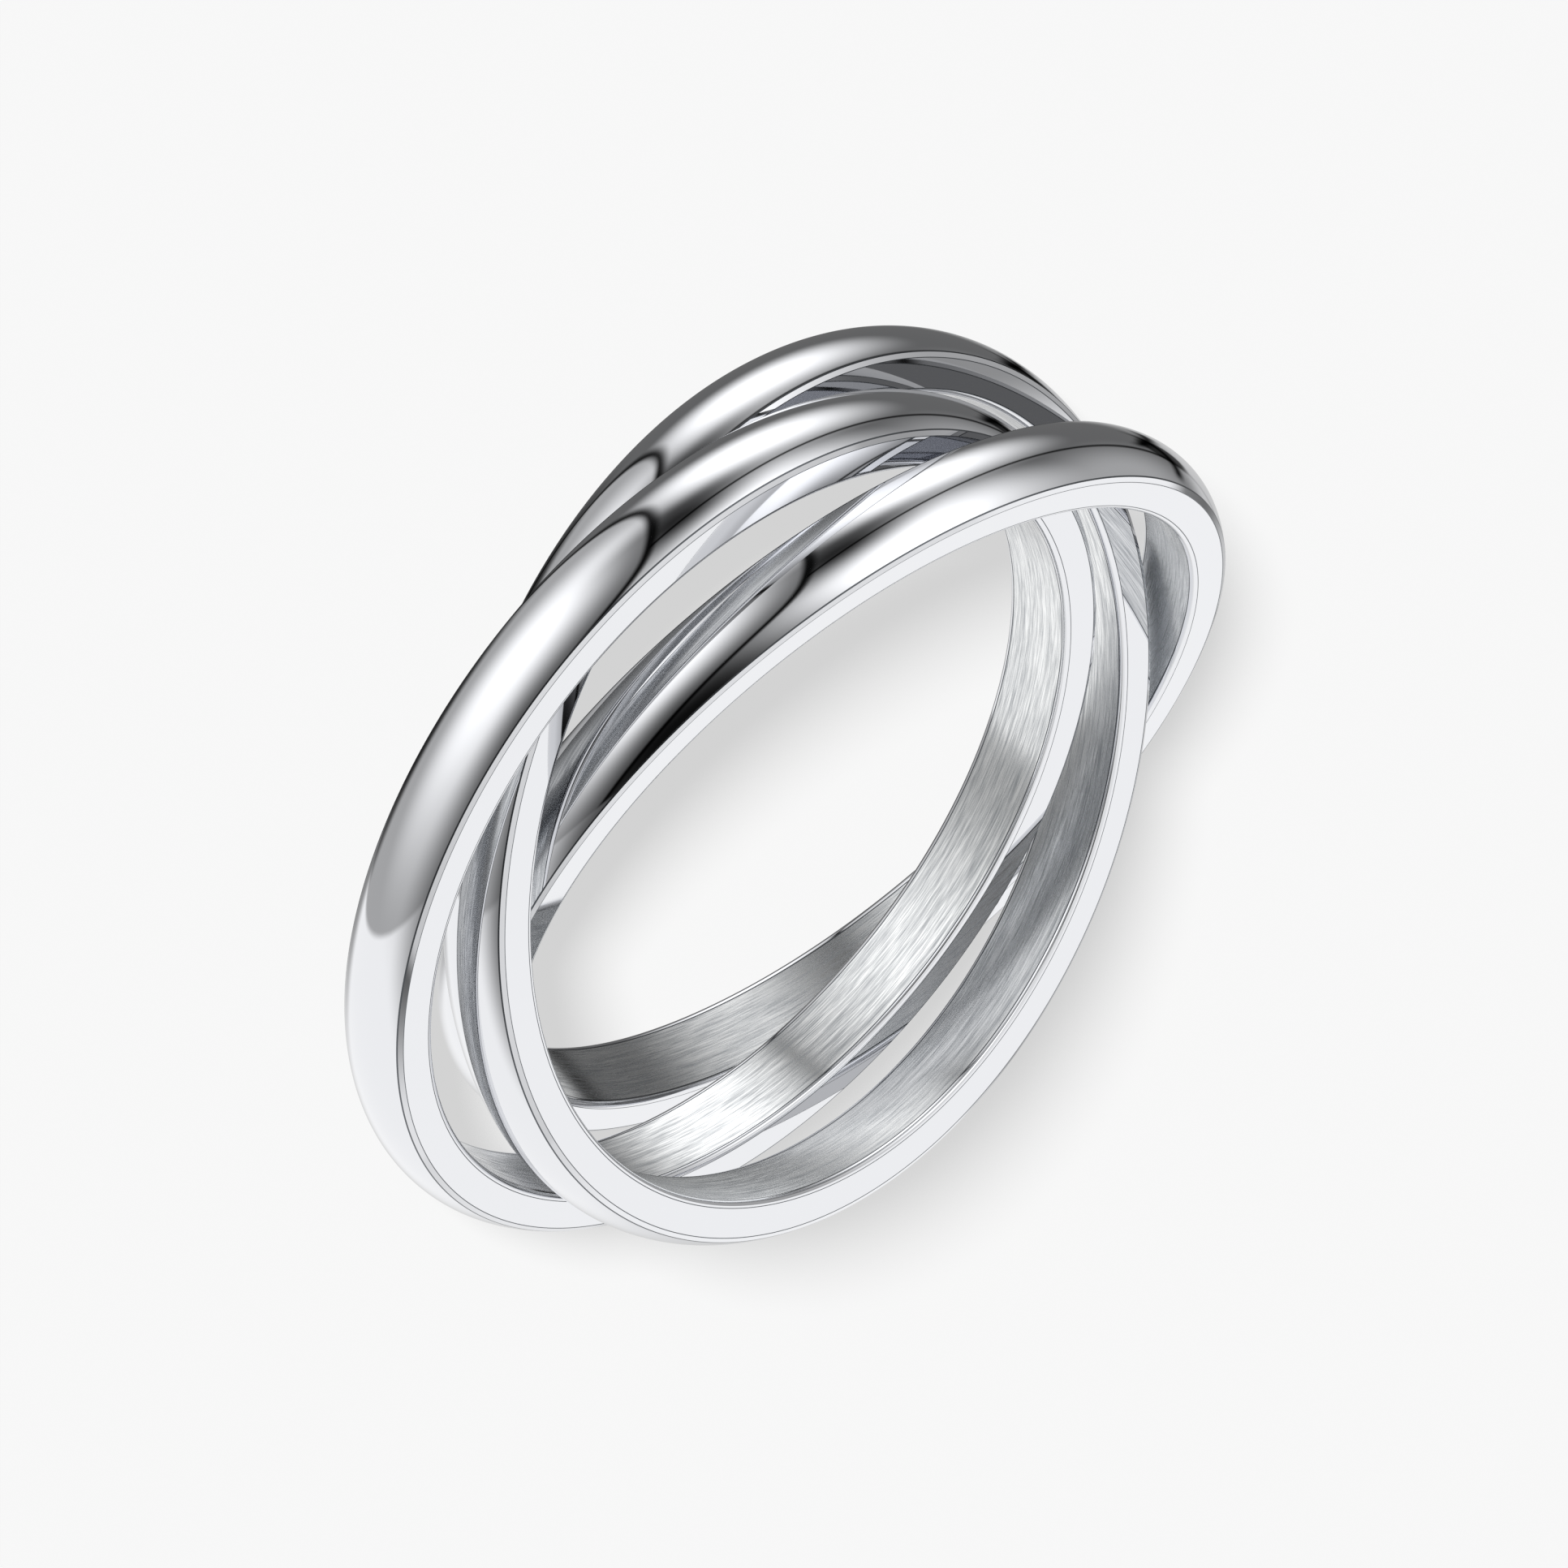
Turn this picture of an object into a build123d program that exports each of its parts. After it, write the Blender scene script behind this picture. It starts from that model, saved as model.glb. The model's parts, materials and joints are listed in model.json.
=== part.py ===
from build123d import *
from math import asin, atan2, cos, radians, sin, sqrt
import os

# A rolling ring: three like hoops of stainless steel, each linked through the other two, lying on its side.
# +Z is up and the ring lies on z = 0, with the origin under the middle of its box. The hoops cross each other
# near the two ends of the X axis.

# One hoop
bore_radius = 9.5
band_width = 1.9  # along the hoop's own axis
wall = 1.27  # from the bore to the crest of the dome
dome_rise = 0.34  # from the creases up to the crest
bore_edge_radius = 0.15  # polished round between the bore and each side face

# How the three hoops lie, one row for each. climb is how far a hoop's rim rises over one bore radius, in band
# widths. The hoop's axis leans toward the named direction, in degrees from +X. along and across are where its
# centre is from the level hoop's, on X and on Y, in walls: where the hoops cross they lie one outside the other.
lying = {
    "level_band": {"climb": 0.17, "leans_toward": -32, "along": 0, "across": 0},
    "front_leaning_band": {"climb": 1.33, "leans_toward": -85, "along": -1.82, "across": -0.16},
    "back_leaning_band": {"climb": 1.14, "leans_toward": 84, "along": -3.04, "across": 0.24},
}
resting_bands = ("front_leaning_band", "back_leaning_band")  # the level one hangs in these two

# The D section
half_width = band_width / 2
crest_radius = bore_radius + wall
crease_radius = crest_radius - dome_rise
dome_arc_radius = (dome_rise**2 + half_width**2) / (2 * dome_rise)
dome_arc_centre = crest_radius - dome_arc_radius
dome_half_angle = asin(half_width / dome_arc_radius)


def band_axis(row):
    """The direction of a hoop's own axis."""
    lean = asin(row["climb"] * band_width / bore_radius)
    toward = radians(row["leans_toward"])
    return Vector(sin(lean) * cos(toward), sin(lean) * sin(toward), cos(lean))


def reach(axis, direction):
    """How far a hoop's surface goes from its centre in a direction, touching on the dome or on a crease."""
    along_axis = abs(axis.dot(direction))
    outward = sqrt(1 - along_axis**2)
    if atan2(along_axis, outward) < dome_half_angle:
        return dome_arc_centre * outward + dome_arc_radius
    return crease_radius * outward + half_width * along_axis


def box_middle(places, direction):
    """The middle of the box of all the hoops along one direction, with each hoop's centre at its place."""
    highest = max(place + reach(axes[name], direction) for name, place in places.items())
    lowest = min(place - reach(axes[name], direction) for name, place in places.items())
    return (highest + lowest) / 2


axes = {name: band_axis(row) for name, row in lying.items()}
along = {name: row["along"] * wall for name, row in lying.items()}
across = {name: row["across"] * wall for name, row in lying.items()}
origin_x = box_middle(along, Vector(1, 0, 0))
origin_y = box_middle(across, Vector(0, 1, 0))

# Two hoops lie on their lowest creases, and the level one is midway between their heights.
heights = {name: reach(axes[name], Vector(0, 0, 1)) for name in resting_bands}
heights["level_band"] = sum(heights.values()) / len(resting_bands)

os.makedirs("parts", exist_ok=True)
for name, axis in axes.items():
    centre = Vector(along[name] - origin_x, across[name] - origin_y, heights[name])
    out = Plane(origin=centre, z_dir=axis).x_dir
    with BuildPart() as band:
        # On the section's plane, X is the way out from the hoop's axis and Y is along the axis.
        with BuildSketch(Plane(origin=centre, x_dir=out, z_dir=out.cross(axis))) as section:
            with BuildLine():
                Polyline(
                    (crease_radius, -half_width),
                    (bore_radius, -half_width),
                    (bore_radius, half_width),
                    (crease_radius, half_width),
                )
                ThreePointArc((crease_radius, half_width), (crest_radius, 0), (crease_radius, -half_width))
            make_face()
            fillet(section.vertices().group_by(Axis.X)[0], radius=bore_edge_radius)
        revolve(axis=Axis(centre, axis))
    band.part.label = name
    export_step(band.part, f"parts/{name}.step")
    print(name, "centre", *(round(c, 6) for c in centre), "axis", *(round(c, 9) for c in axis))
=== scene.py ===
# Looks of a rolling ring: three linked steel bands, mirror polished outside and brushed in the bore.
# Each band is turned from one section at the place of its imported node, and takes three finishes.
import json
from math import asin, cos, pi, radians, sin, tau

import bmesh
import bpy
from mathutils import Matrix, Vector


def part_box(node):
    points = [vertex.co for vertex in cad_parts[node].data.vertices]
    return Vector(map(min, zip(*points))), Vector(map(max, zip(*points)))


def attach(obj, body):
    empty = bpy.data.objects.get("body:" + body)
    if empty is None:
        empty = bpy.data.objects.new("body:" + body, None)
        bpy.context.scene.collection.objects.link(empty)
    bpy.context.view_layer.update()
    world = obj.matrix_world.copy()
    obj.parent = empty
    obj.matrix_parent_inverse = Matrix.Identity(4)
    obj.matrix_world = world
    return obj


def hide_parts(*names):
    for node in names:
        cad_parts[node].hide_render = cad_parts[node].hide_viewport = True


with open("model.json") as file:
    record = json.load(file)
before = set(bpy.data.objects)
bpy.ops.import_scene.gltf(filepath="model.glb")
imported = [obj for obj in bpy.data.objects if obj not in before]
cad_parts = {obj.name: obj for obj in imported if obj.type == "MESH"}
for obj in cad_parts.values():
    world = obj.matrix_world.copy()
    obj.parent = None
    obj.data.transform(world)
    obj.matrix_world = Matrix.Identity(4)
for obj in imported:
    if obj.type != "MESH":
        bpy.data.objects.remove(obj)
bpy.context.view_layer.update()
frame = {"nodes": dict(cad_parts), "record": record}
mm = 0.001
print("packed model loaded,", len(frame["nodes"]), "bands")


# Camera: the photograph's angle, above the floor and rolled as the photographer held it
photoCamera = {
    "azimuth": 53.3,  # degrees round from -Y towards +X
    "elevation": 29.9,  # degrees
    "roll": -127.56,  # degrees
    "distance": 200.9,  # mm from the target
    "target": (-0.02, -0.231, 3.288),  # mm
    "lens": 204.97,  # mm
    "sensor": 36,  # mm
    "reach": (0.01, 20),  # m, the nearest and the farthest that it sees
}


def placeCamera(values):
    around, above, roll = (radians(values[key]) for key in ("azimuth", "elevation", "roll"))
    back = Vector((sin(around) * cos(above), -cos(around) * cos(above), sin(above)))
    levelRight = Vector((0, 0, 1)).cross(back).normalized()
    levelUp = back.cross(levelRight)
    up = levelUp * cos(roll) + levelRight * sin(roll)
    right = up.cross(back)
    bpy.ops.object.camera_add(location=(Vector(values["target"]) + back * values["distance"]) * mm)
    camera = bpy.context.object
    camera.name = "photoCamera"
    camera.rotation_euler = Matrix((right, up, back)).transposed().to_euler()
    camera.data.lens = values["lens"]
    camera.data.sensor_width = values["sensor"]
    camera.data.clip_start, camera.data.clip_end = values["reach"]
    bpy.context.scene.camera = camera


bpy.ops.object.select_all(action="DESELECT")
placeCamera(photoCamera)
print("camera placed")


# Small helpers for colours and nodes
white = (1.0, 1.0, 1.0, 1.0)


def linearColour(hexValue):
    def toLinear(share):  # the sRGB curve
        return share / 12.92 if share <= 0.04045 else ((share + 0.055) / 1.055) ** 2.4

    return tuple(toLinear(int(hexValue[i : i + 2], 16) / 255) for i in (1, 3, 5)) + (1.0,)


def addNode(tree, kind, inputs=None, **settings):
    made = tree.nodes.new(kind)
    for key, value in settings.items():
        setattr(made, key, value)
    for key, value in (inputs or {}).items():
        if isinstance(value, bpy.types.NodeSocket):
            tree.links.new(value, made.inputs[key])
        else:
            made.inputs[key].default_value = value
    return made


def spread(source, target=(0.0, 1.0)):  # settings that map one stretch of values to another
    return {"From Min": source[0], "From Max": source[1], "To Min": target[0], "To Max": target[1]}


def newMaterial(name):
    material = bpy.data.materials.new(name)
    material.use_nodes = True
    material.node_tree.nodes.clear()
    return material, material.node_tree


# Stainless steel, mirror polished on a felt wheel: neutral, a little cool, with reflections that stay crisp.
# The wheel leaves a faint haze, which the roughness carries.
mirrorPolish = {
    "colour": "#E4E5E8",
    "roughness": (0.02, 0.04),  # at the clearest and at the dullest
    "haze": 1.6 * mm,  # size of a patch that the wheel left duller
    "detail": 3.0,
    "noise": (0.35, 0.65),  # the stretch of the noise that the roughness follows
}


def mirrorPolishedSteel(values):
    material, tree = newMaterial("mirrorPolishedSteel")
    place = addNode(tree, "ShaderNodeTexCoord").outputs["Object"]
    patches = {"Vector": place, "Scale": 1 / values["haze"], "Detail": values["detail"]}
    haze = addNode(tree, "ShaderNodeTexNoise", patches).outputs["Fac"]
    dulled = {"Value": haze, **spread(values["noise"], values["roughness"])}
    rough = addNode(tree, "ShaderNodeMapRange", dulled).outputs["Result"]
    look = {"Base Color": linearColour(values["colour"]), "Metallic": 1.0, "Roughness": rough}
    steel = addNode(tree, "ShaderNodeBsdfPrincipled", look)
    addNode(tree, "ShaderNodeOutputMaterial", {"Surface": steel.outputs["BSDF"]})
    return material


# Painted shade: dark steel on thin strips along the sharp edges and creases, in place of their dark
# reflections
paintedEdgeShade = {"colour": "#63666A", "roughness": 0.3}


def paintedEdgeShadeSteel(values):
    material, tree = newMaterial("steelWithPaintedEdgeShade")
    look = {"Base Color": linearColour(values["colour"]), "Metallic": 1.0, "Roughness": values["roughness"]}
    steel = addNode(tree, "ShaderNodeBsdfPrincipled", look)
    addNode(tree, "ShaderNodeOutputMaterial", {"Surface": steel.outputs["BSDF"]})
    return material


# Stainless steel, brushed round the bore with fine emery: satin, with streaks that run along the
# circumference and highlights that spread across them.
brushedBore = {
    "colour": ("#B4B7BA", "#F4F5F5"),  # in the scratches and between them
    "roughness": (0.32, 0.18),
    "streak": (0.8 * mm, 0.028 * mm),  # length and width of one scratch, drawn as wide as it needs to show
    "band": (4.5 * mm, 0.09 * mm),  # length and width of a group of scratches
    "bandShare": 0.4,  # what the groups give to the pattern, and single scratches give the rest
    "detail": 2.0,
    "ragged": 0.6,
    "noise": (0.36, 0.62),  # the stretch of the pattern that colour and roughness follow
    "depth": 0.0012 * mm,
    "anisotropy": 0.75,
    "turned": 0.25,  # of a full turn, so that highlights spread across the scratches
}


def brushedSteel(name, values, middle, turn):
    material, tree = newMaterial("brushedSteel_" + name)
    place = addNode(tree, "ShaderNodeTexCoord").outputs["Object"]

    def streaks(size):  # noise drawn out round the bore and narrow across it
        length, width = size
        laid = {"Vector": place, "Location": middle, "Rotation": turn, "Scale": (length, length, width)}
        drawn = addNode(tree, "ShaderNodeMapping", laid, vector_type="TEXTURE").outputs["Vector"]
        noise = {"Vector": drawn, "Scale": 1.0, "Detail": values["detail"], "Roughness": values["ragged"]}
        return addNode(tree, "ShaderNodeTexNoise", noise).outputs["Fac"]

    blend = {"Factor": values["bandShare"], "A": streaks(values["streak"]), "B": streaks(values["band"])}
    pattern = addNode(tree, "ShaderNodeMix", blend, data_type="FLOAT").outputs["Result"]
    dark, light = (linearColour(shade) for shade in values["colour"])
    shaded = {"Value": pattern, **spread(values["noise"])}
    tone = addNode(tree, "ShaderNodeMapRange", shaded).outputs["Result"]
    colour = addNode(tree, "ShaderNodeMix", {"Factor": tone, "A": dark, "B": light}, data_type="RGBA")
    dulled = {"Value": pattern, **spread(values["noise"], values["roughness"])}
    rough = addNode(tree, "ShaderNodeMapRange", dulled)
    relief = {"Strength": 1.0, "Distance": values["depth"], "Height": pattern}
    bump = addNode(tree, "ShaderNodeBump", relief)
    roundBore = addNode(tree, "ShaderNodeTangent", direction_type="RADIAL", axis="Z")
    look = {
        "Base Color": colour.outputs["Result"],
        "Metallic": 1.0,
        "Roughness": rough.outputs["Result"],
        "Anisotropic": values["anisotropy"],
        "Anisotropic Rotation": values["turned"],
        "Normal": bump.outputs["Normal"],
        "Tangent": roundBore.outputs["Tangent"],
    }
    steel = addNode(tree, "ShaderNodeBsdfPrincipled", look)
    addNode(tree, "ShaderNodeOutputMaterial", {"Surface": steel.outputs["BSDF"]})
    return material


# Bands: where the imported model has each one, and how big its section is
measuring = {
    "near": 0.002 * mm,  # a corner this close to a side or to the bore lies on it
    "decimals": 2,  # faces whose normals agree so far face one way
}


def measureBand(node, values):
    low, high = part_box(node.name)
    middle = (low + high) / 2
    facing = {}
    for face in node.data.polygons:
        key = tuple(round(part, values["decimals"]) for part in face.normal)
        total, area = facing.get(key, (Vector(), 0))
        facing[key] = (total + face.normal * face.area, area + face.area)

    # The flat side faces share one normal, which runs along the band's axis
    axis = max(facing.values(), key=lambda entry: entry[1])[0].normalized()
    axis = axis if axis.z > 0 else -axis
    along = [(v.co - middle).dot(axis) for v in node.data.vertices]
    out = [((v.co - middle) - axis * a).length for v, a in zip(node.data.vertices, along)]
    half, bore, crest, near = max(along), min(out), max(out), values["near"]
    crease = max(o for o, a in zip(out, along) if abs(a) > half - near)
    rise = crest - crease
    domeRadius = (rise**2 + half**2) / (2 * rise)
    return {
        "middle": middle,
        "turn": Vector((0, 0, 1)).rotation_difference(axis).to_euler(),
        "halfWidth": half,
        "bore": bore,
        "crest": crest,
        "crease": crease,
        "edgeRound": half - max(abs(a) for o, a in zip(out, along) if o < bore + near),
        "domeRadius": domeRadius,
        "domeAngle": asin(half / domeRadius),  # from the crest to a crease
    }


def pick(kind, test):  # selects the vertices, edges or faces whose middle passes the test
    bpy.ops.mesh.select_mode(type=kind)
    bpy.ops.mesh.select_all(action="DESELECT")
    mesh = bmesh.from_edit_mesh(bpy.context.object.data)
    for part in {"VERT": mesh.verts, "EDGE": mesh.edges, "FACE": mesh.faces}[kind]:
        points = [part.co] if kind == "VERT" else [v.co for v in part.verts]
        part.select_set(test(sum(points, Vector()) / len(points)))
    mesh.select_flush_mode()
    bmesh.update_edit_mesh(bpy.context.object.data)


finishes = {
    "polished": mirrorPolishedSteel(mirrorPolish),
    "brushed": None,  # each band has its own, because the streaks run round its own axis
    # the dark finish is painted shade along the edges and creases
    "dark": paintedEdgeShadeSteel(paintedEdgeShade),
}


def paint(band, finish):
    band.active_material_index = list(finishes).index(finish)
    bpy.ops.object.material_slot_assign()


def paintInside(band, test, finish, border):  # the picked faces get a finish, inside a dark strip
    pick("FACE", test)
    paint(band, "dark")
    bpy.ops.mesh.inset(thickness=border, depth=0)
    paint(band, finish)


turning = {
    "domeSteps": 20,  # facets across the dome, smooth shaded
    "edgeSteps": 7,  # facets across the polished round at the bore
    "roundSteps": 360,  # facets round the band
    "creaseFacet": 0.065 * mm,  # what polishing takes off the crease between dome and side face
    "sideShadeStrip": 0.021 * mm,  # strips of painted shade along the sharp edges
    "boreShadeStrip": 0.03 * mm,
    "smoothUnder": 20,  # degrees, and sharper edges stay sharp
    "near": 0.003 * mm,  # a corner this close to a place is picked with it
    "flat": 0.0001 * mm,  # a face whose middle is this close to the side lies in it
    "weld": 0.001 * mm,  # corners closer than this become one
}


def drawSection(name, size, values):  # on the XZ plane, with the band's axis along Z
    bore, crest, crease, half = (size[key] for key in ("bore", "crest", "crease", "halfWidth"))
    wallMiddle, near = (bore + crease) / 2, values["near"]

    # A plane with its outer edge taken off and swept to the dome's arc
    bpy.ops.object.select_all(action="DESELECT")
    bpy.ops.mesh.primitive_plane_add(size=2 * half, location=(wallMiddle, 0, 0), rotation=(pi / 2, 0, 0))
    band = bpy.context.object
    band.name = band.data.name = name
    bpy.ops.object.transform_apply(location=True, rotation=True, scale=True)
    bpy.ops.object.mode_set(mode="EDIT")
    narrowed = (crease - bore) / (2 * half)
    bpy.ops.transform.resize(value=(narrowed, 1, 1), center_override=(wallMiddle, 0, 0))
    bpy.ops.mesh.delete(type="ONLY_FACE")
    pick("EDGE", lambda p: p.x > crease - near)
    bpy.ops.mesh.delete(type="EDGE")
    pick("VERT", lambda p: p.x > crease - near and p.z > 0)
    domeCentre = (crest - size["domeRadius"], 0, 0)
    sweep = 2 * size["domeAngle"]
    bpy.ops.mesh.spin(steps=values["domeSteps"], angle=sweep, center=domeCentre, axis=(0, -1, 0))
    bpy.ops.mesh.select_all(action="SELECT")
    bpy.ops.mesh.remove_doubles(threshold=values["weld"])

    # Rounds at the bore's corners and small facets at the creases
    cut = {"offset_type": "OFFSET", "affect": "VERTICES"}
    pick("VERT", lambda p: p.x < bore + near)
    bpy.ops.mesh.bevel(offset=size["edgeRound"], segments=values["edgeSteps"], **cut)
    pick("VERT", lambda p: abs(abs(p.z) - half) < near and p.x > crease - near)
    bpy.ops.mesh.bevel(offset=values["creaseFacet"], segments=1, **cut)
    return band


def finishBand(band, size, values):
    brushed = brushedSteel(band.name, brushedBore, size["middle"], size["turn"])
    for finish in finishes.values():
        band.data.materials.append(finish or brushed)

    # Polished all over, the bore brushed, and strips of painted shade left along the edges
    half, bore, crease = size["halfWidth"], size["bore"], size["crease"]
    paintInside(band, lambda p: abs(abs(p.z) - half) < values["flat"], "polished", values["sideShadeStrip"])
    paintInside(band, lambda p: p.xy.length < bore, "brushed", values["boreShadeStrip"])

    # Painted shade also covers the dome's lowest row of facets, beside the facet at the crease
    rowTop = size["domeRadius"] * sin(size["domeAngle"] * (1 - 2 / values["domeSteps"]))
    rowFoot = half - values["creaseFacet"] / 2
    pick("FACE", lambda p: rowTop < abs(p.z) < rowFoot and p.xy.length > crease)
    paint(band, "dark")


def turnBand(name, size, values):
    band = drawSection(name, size, values)

    # Once round the axis
    bpy.ops.mesh.select_all(action="SELECT")
    around = {"angle": tau, "center": (0, 0, 0), "axis": (0, 0, 1)}
    bpy.ops.mesh.spin(steps=values["roundSteps"], use_auto_merge=True, **around)
    bpy.ops.mesh.select_all(action="SELECT")
    bpy.ops.mesh.remove_doubles(threshold=values["weld"])
    bpy.ops.mesh.normals_make_consistent(inside=False)

    finishBand(band, size, values)
    bpy.ops.object.mode_set(mode="OBJECT")
    bpy.ops.object.shade_smooth_by_angle(angle=radians(values["smoothUnder"]))

    # Into its place in the ring
    band.rotation_euler = size["turn"]
    band.location = size["middle"]
    bpy.ops.object.transform_apply(location=True, rotation=True, scale=True)
    return band


for bodyName, nodeNames in frame["record"]["behaviour"]["bodies"].items():
    for nodeName in nodeNames:
        size = measureBand(frame["nodes"][nodeName], measuring)
        band = turnBand(nodeName + "_steel", size, turning)
        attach(band, bodyName)
        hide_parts(nodeName)
        print(band.name, "turned,", len(band.data.polygons), "faces")


# Floor: a product table of matt opal acrylic, lit evenly from below, part of the stage. The key light adds
# the rest and leaves the only shadow. The steel mirrors the light tent in the table's place.
floorLook = {
    "colour": "#F1F1F1",
    "roughness": 0.9,
    "glow": 0.65,
    "size": 3.0,  # m
}


def layFloor(values):
    bpy.ops.object.select_all(action="DESELECT")
    bpy.ops.mesh.primitive_plane_add(size=values["size"], location=(0, 0, 0))
    floor = bpy.context.object
    floor.name = "studioFloor"
    floor.visible_glossy = False
    material, tree = newMaterial("mattOpalAcrylic")
    look = {
        "Base Color": linearColour(values["colour"]),
        "Roughness": values["roughness"],
        "Specular IOR Level": 0.0,
        "Emission Color": white,
        "Emission Strength": values["glow"],
    }
    acrylic = addNode(tree, "ShaderNodeBsdfPrincipled", look)
    addNode(tree, "ShaderNodeOutputMaterial", {"Surface": acrylic.outputs["BSDF"]})
    material.cycles.emission_sampling = "NONE"
    floor.data.materials.append(material)


layFloor(floorLook)
print("floor laid")


# Light: the steel mirrors a small tent of soft panels that meet in dark seams. Only the key light lights
# anything else, and the camera sees a plain backdrop behind the floor.
# Directions are (degrees round from +X, degrees above the floor). All angles are in degrees and seen from the
# ring's middle. A panel covers what all of its discs share, and the corners between them are rounded.
# Each step changes what the ones above it left. One with a middle works fully up to one angle from there and
# ends at another. A laid panel fades from its light to that of its edge, and a seam darkens its edge, so far
# on the panel and so far off it.
tent = {
    "radius": 90 * mm,
    "facets": (96, 48),  # round it and from top to bottom
    "seen": (0, 0, 3.5 * mm),  # the ring's middle
    "middle": (-45 * mm, -10 * mm, -51.5 * mm),  # so the panels at the right are nearer to the ring
    "strength": 1.15,
    "mattMet": 0.5,  # only rays that met fewer matt surfaces than this find it lit
    "base": 0.13,  # light where no panel is
    "rim": 1.0,  # half the width over which a laid panel ends
    "corner": 16,
    "panels": {
        "left": [((153, 80), 92.7)],
        "front": [((11, -20), 79.5), ((-6, -81), 104.5)],
        "right": [((107, 28), 91.5), ((65, -10), 78)],
        "back": [((-62, -49), 90)],
        "behind": [((-89, 0), 90)],
        "roof": [((40, 85), 48)],
        "wall": [((125, 42), 42)],
    },
    "steps": [
        {"add": "left corner", "middle": (-163, 22), "full": 10, "end": 40, "light": 0.25},
        {"add": "upper left panel", "middle": (-93, 37), "full": 0, "end": 52, "light": 1.4},
        {"add": "lower left panel", "middle": (-112, -33), "full": 0, "end": 38, "light": 1.5},
        {"dim": "corner where the panels meet", "middle": (-76, 2), "full": 2, "end": 30, "depth": 0.93},
        {"seam": "left", "reach": (2.2, 2.2), "depth": 0.95},
        {"add": "panel behind the ring", "middle": (157, -14), "full": 13, "end": 27, "light": 0.42},
        {"add": "its brighter edge", "middle": (145, -29), "full": 2, "end": 13, "light": 0.45},
        {"seam": "back", "reach": (3, 3), "depth": 0.95, "middle": (-179, -23), "full": 9, "end": 16},
        {"seam": "behind", "reach": (3, 3), "depth": 0.95, "middle": (-179, -13), "full": 9, "end": 16},
        {"dim": "gap behind the ring", "middle": (-179, -16), "full": 5, "end": 8, "depth": 0.86},
        {"dim": "gap above the front panel", "middle": (-19, 34), "full": 4, "end": 25, "depth": 0.78},
        {"lay": "front", "middle": (-37, -20), "full": 0, "end": 58, "light": 1.3, "edge": 0.4},
        {"seam": "front", "reach": (2.5, 3.5), "depth": 0.96},
        {"seam": "front", "reach": (28, 3), "depth": 0.75, "middle": (-60, 20), "full": 30, "end": 60},
        {"lay": "right", "middle": (60, -18), "full": 35, "end": 65, "light": 0.93, "edge": 0.6},
        {"dim": "top of the right panel", "middle": (0, 50), "full": 24, "end": 54, "depth": 0.85},
        {"dim": "gap below on the right", "middle": (108, -76), "full": 5, "end": 22, "depth": 0.88},
        {"dim": "foot of the right panel", "middle": (112, -63), "full": 8, "end": 25, "depth": 0.62},
        {"lay": "roof", "middle": (40, 85), "full": 30, "end": 48, "light": 0.8, "edge": 0.6},
        {"lay": "wall", "middle": (135, 42), "full": 32, "end": 48, "light": 0.94, "edge": 0.75},
    ],
}


def direction(azimuth, elevation):
    a, e = radians(azimuth), radians(elevation)
    return Vector((cos(a) * cos(e), sin(a) * cos(e), sin(e)))


def tentLight(tree, values):  # the light that comes from each direction, before its strength
    place = addNode(tree, "ShaderNodeTexCoord").outputs["Object"]
    away = addNode(tree, "ShaderNodeVectorMath", {0: place, 1: values["seen"]}, operation="SUBTRACT")
    seen = addNode(tree, "ShaderNodeVectorMath", {0: away.outputs["Vector"]}, operation="NORMALIZE")

    def angleFrom(middle):
        both = {0: seen.outputs["Vector"], 1: direction(*middle)}
        towards = addNode(tree, "ShaderNodeVectorMath", both, operation="DOT_PRODUCT").outputs["Value"]
        return addNode(tree, "ShaderNodeMath", {0: towards}, operation="ARCCOSINE").outputs["Value"]

    def ramp(value, angles, lights):
        limits = {"Value": value, **spread([radians(angle) for angle in angles], lights)}
        made = addNode(tree, "ShaderNodeMapRange", limits, interpolation_type="SMOOTHSTEP")
        return made.outputs["Result"]

    def outside(panel):  # angle past the panel's edge, negative on the panel
        over = []
        for middle, radius in values["panels"][panel]:
            past = {0: angleFrom(middle), 1: radians(radius)}
            over.append(addNode(tree, "ShaderNodeMath", past, operation="SUBTRACT").outputs["Value"])
        if len(over) == 1:
            return over[0]
        rounded = {0: over[0], 1: over[1], 2: radians(values["corner"])}
        return addNode(tree, "ShaderNodeMath", rounded, operation="SMOOTH_MAX").outputs["Value"]

    def within(step, inner, outer):  # from the outer value to the inner one, round the middle of a step
        return ramp(angleFrom(step["middle"]), (step["end"], step["full"]), (outer, inner))

    def seam(step):  # the share of the light that stays
        depth = within(step, step["depth"], 0.0) if "middle" in step else step["depth"]
        past = outside(step["seam"])
        onPanel, offPanel = step["reach"]
        sides = {0: ramp(past, (-onPanel, 0), (0.0, depth)), 1: ramp(past, (offPanel, 0), (0.0, depth))}
        dark = addNode(tree, "ShaderNodeMath", sides, operation="MINIMUM").outputs["Value"]
        return addNode(tree, "ShaderNodeMath", {0: 1.0, 1: dark}, operation="SUBTRACT").outputs["Value"]

    light = values["base"]
    for step in values["steps"]:
        if "add" in step:
            added = {0: light, 1: within(step, step["light"], 0.0)}
            light = addNode(tree, "ShaderNodeMath", added, operation="ADD").outputs["Value"]
        elif "lay" in step:
            cover = ramp(outside(step["lay"]), (values["rim"], -values["rim"]), (0.0, 1.0))
            blend = {"Factor": cover, "A": light, "B": within(step, step["light"], step["edge"])}
            light = addNode(tree, "ShaderNodeMix", blend, data_type="FLOAT").outputs["Result"]
        else:
            left = {0: light, 1: seam(step) if "seam" in step else within(step, 1 - step["depth"], 1.0)}
            light = addNode(tree, "ShaderNodeMath", left, operation="MULTIPLY").outputs["Value"]
    return light


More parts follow.
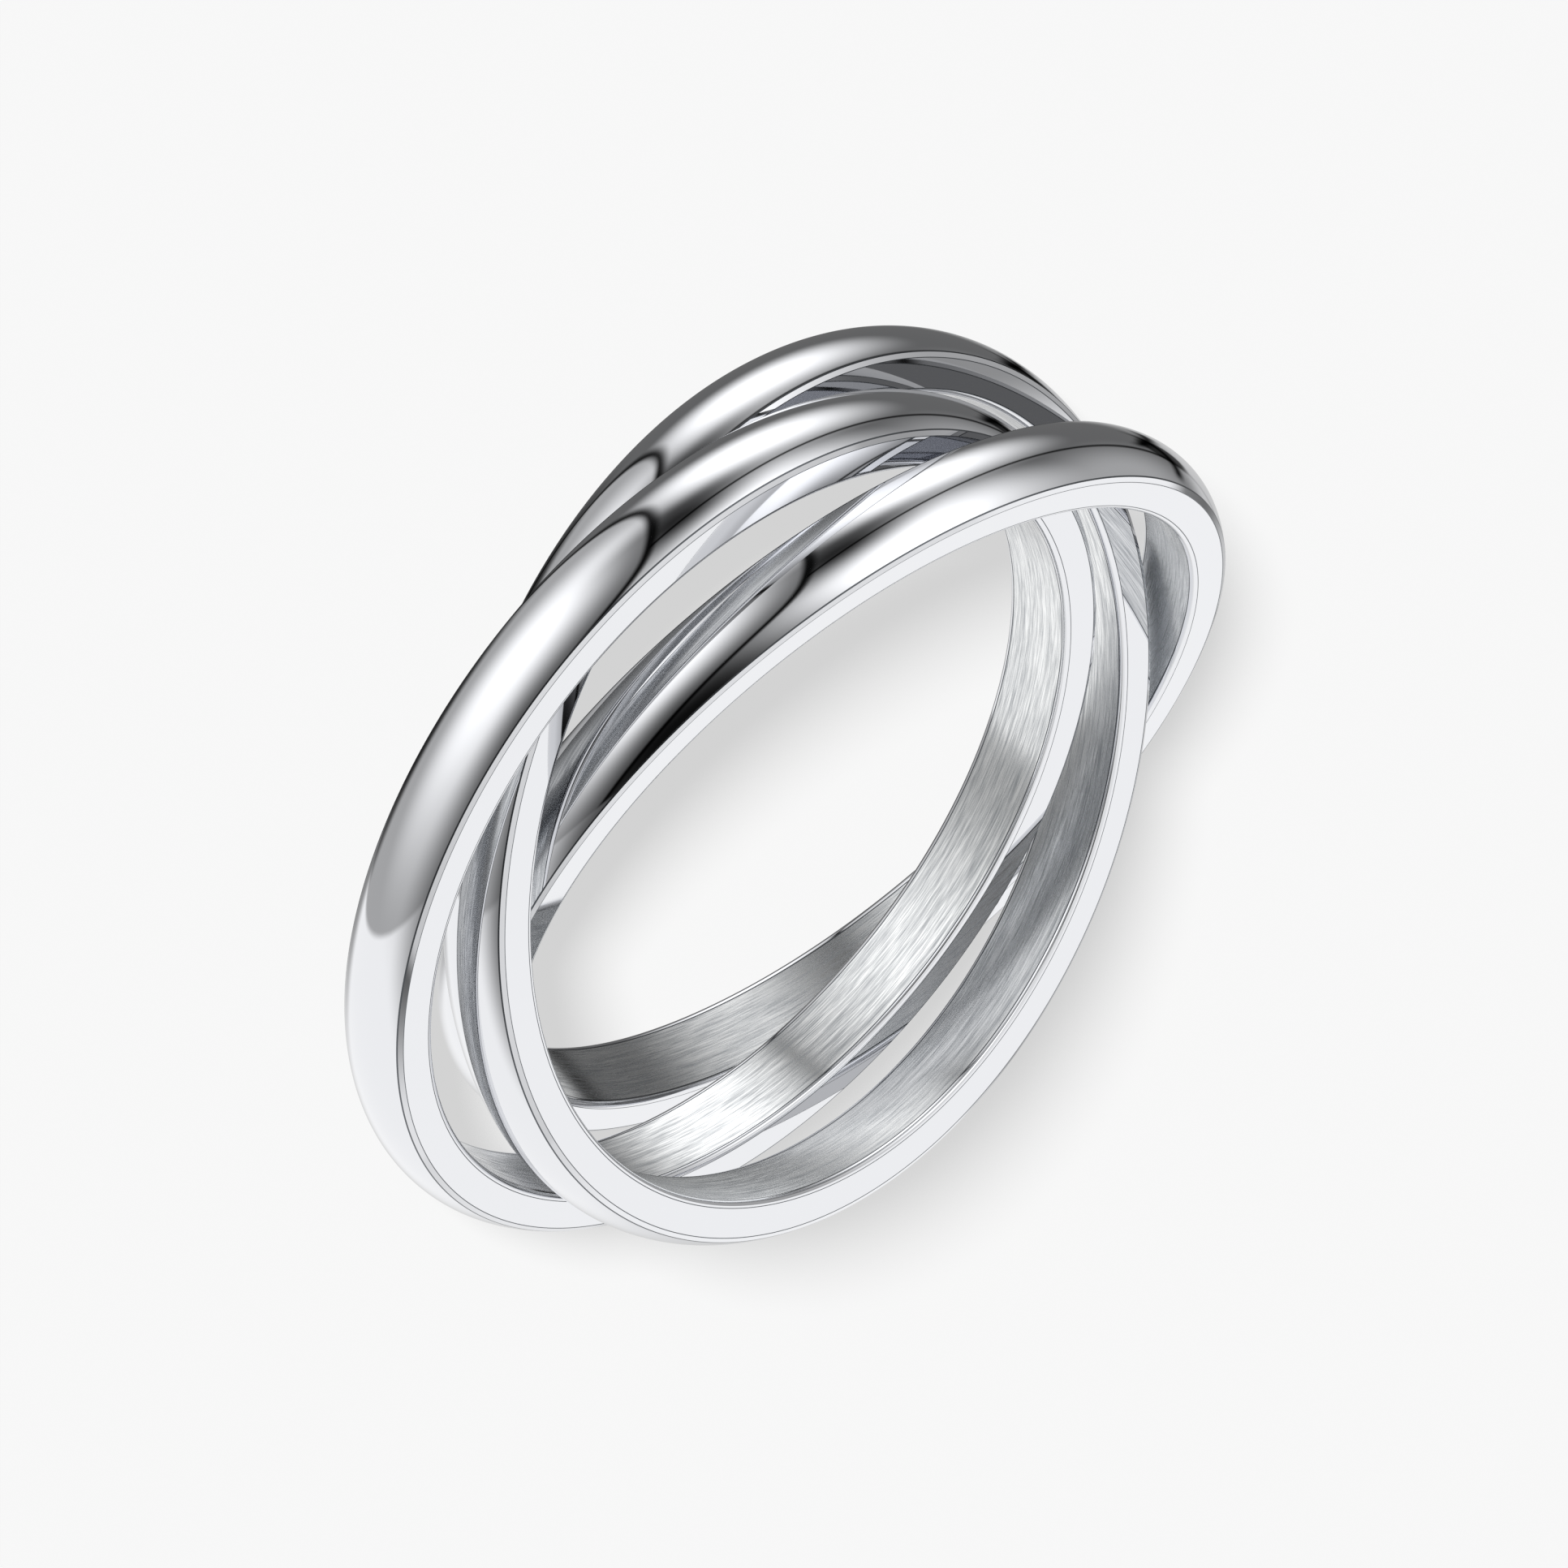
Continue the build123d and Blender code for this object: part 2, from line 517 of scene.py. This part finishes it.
def hangTent(values):
    bpy.ops.object.select_all(action="DESELECT")
    across, down = values["facets"]
    shell = {"radius": values["radius"], "location": values["middle"]}
    bpy.ops.mesh.primitive_uv_sphere_add(segments=across, ring_count=down, **shell)
    sphere = bpy.context.object
    sphere.name = "lightTent"
    bpy.ops.object.transform_apply(location=True, rotation=True, scale=True)
    material, tree = newMaterial("lightTentPanels")
    shown = {0: tentLight(tree, values), 1: values["strength"]}
    shown = addNode(tree, "ShaderNodeMath", shown, operation="MULTIPLY").outputs["Value"]

    # Rays from a matt surface find the tent dark, because the key light alone lights such a surface
    met = {0: addNode(tree, "ShaderNodeLightPath").outputs["Diffuse Depth"], 1: values["mattMet"]}
    mirrors = {0: shown, 1: addNode(tree, "ShaderNodeMath", met, operation="LESS_THAN").outputs["Value"]}
    mirrored = addNode(tree, "ShaderNodeMath", mirrors, operation="MULTIPLY").outputs["Value"]
    glow = addNode(tree, "ShaderNodeEmission", {"Color": white, "Strength": mirrored})
    addNode(tree, "ShaderNodeOutputMaterial", {"Surface": glow.outputs["Emission"]})
    material.cycles.emission_sampling = "NONE"
    sphere.data.materials.append(material)
    for kind in ("camera", "diffuse", "transmission", "volume_scatter", "shadow"):
        setattr(sphere, "visible_" + kind, False)


backdrop = {"strength": 0.93}


def hangBackdrop(values):
    world = bpy.data.worlds.new("plainBackdrop")
    bpy.context.scene.world = world
    world.use_nodes = True
    tree = world.node_tree
    tree.nodes.clear()
    ray = addNode(tree, "ShaderNodeLightPath").outputs["Is Camera Ray"]
    behind = addNode(tree, "ShaderNodeMath", {0: ray, 1: values["strength"]}, operation="MULTIPLY")
    glow = addNode(tree, "ShaderNodeBackground", {"Color": white, "Strength": behind.outputs["Value"]})
    addNode(tree, "ShaderNodeOutputWorld", {"Surface": glow.outputs["Background"]})
    world.cycles.sampling_method = "NONE"


keyLight = {
    "towards": (-37, 23.5),  # where it hangs, as a direction from the ring
    "width": 8.5,  # degrees, which softens the shadow
    "strength": 2.55,
}


def hangKey(values):
    towards = direction(*values["towards"]).to_track_quat("Z", "Y").to_euler()
    bpy.ops.object.light_add(type="SUN", rotation=towards)
    key = bpy.context.object
    key.name = "softKey"
    key.data.angle = radians(values["width"])
    key.data.energy = values["strength"]
    key.visible_glossy = False


mirrorings = 10  # how often light may go from band to band

hangBackdrop(backdrop)
hangTent(tent)
hangKey(keyLight)
bpy.context.scene.cycles.glossy_bounces = mirrorings
bpy.context.scene.view_settings.view_transform = "Standard"
print("lights set")
